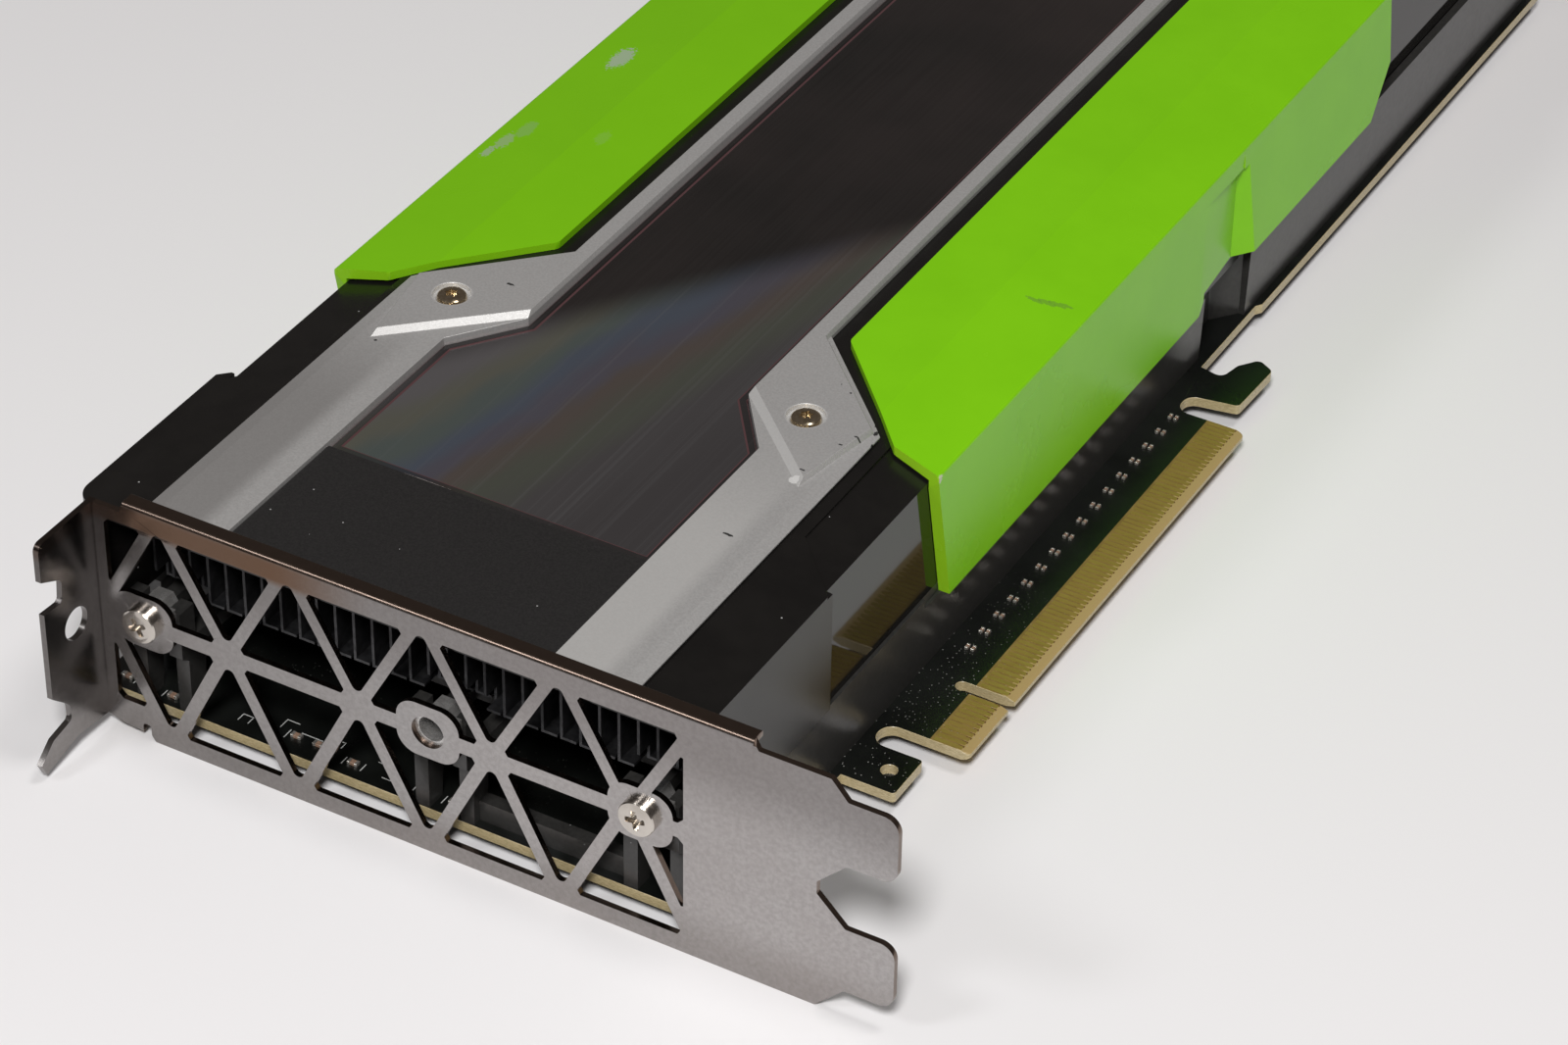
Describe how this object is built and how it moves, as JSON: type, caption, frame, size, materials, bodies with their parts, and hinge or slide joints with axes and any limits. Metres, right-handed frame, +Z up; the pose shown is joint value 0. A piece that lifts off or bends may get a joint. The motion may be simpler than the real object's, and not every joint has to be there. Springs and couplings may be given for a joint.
{
  "type": "passive accelerator card",
  "caption": "full-length dual-slot accelerator card with truss-vented bracket, finned passive cooler in a black shroud, green side covers, satin trims and a gold edge connector",
  "frame": {"origin": "middle of the card's box in X and Y, at its lowest point, the card lying flat with its cooler up", "axes": "+Z up, away from the circuit board through the cooler; +X towards the edge connector; +Y from the bracket to the rear end of the card"},
  "size_m": [0.1238, 0.2856, 0.0388],
  "materials": {
    "board": "solder mask",
    "contacts": "gold flash",
    "ceramic": "plain",
    "bracket": "smoky nickel",
    "plated_steel": "bright plating",
    "black_casting": "black satin",
    "dark_metal": "dark",
    "silicon": "polished",
    "chip_resin": "moulded",
    "pad": "soft",
    "black_shell": "semi gloss",
    "green_paint": "satin paint",
    "satin_metal": "satin",
    "plate": "matte",
    "window": "brushed gloss",
    "black_sheet": "black",
    "ferrite": "pressed",
    "socket_plastic": "moulded"
  },
  "bodies": {
    "root": {"circuit_board": "board", "edge_contacts_top": "contacts", "edge_contacts_bottom": "contacts", "coupling_capacitors": "ceramic", "front_passives": "ceramic", "io_bracket": "bracket", "bracket_screws": "plated_steel", "bracket_ears": "plated_steel", "base_frame": "black_casting", "heat_spreader": "dark_metal", "fin_stack": "dark_metal", "processor_substrate": "board", "processor_die": "silicon", "memory_chips": "chip_resin", "thermal_pads": "pad", "shroud": "black_shell", "cover_left": "green_paint", "cover_right": "green_paint", "trim_left": "satin_metal", "trim_right": "satin_metal", "trim_screws": "plated_steel", "name_plate": "plate", "window_panel": "window", "backplate": "black_sheet", "backplate_screws": "plated_steel", "power_inductors": "ferrite", "power_stages": "chip_resin", "power_socket": "socket_plastic", "power_pins": "contacts"}
  },
  "joints": []
}
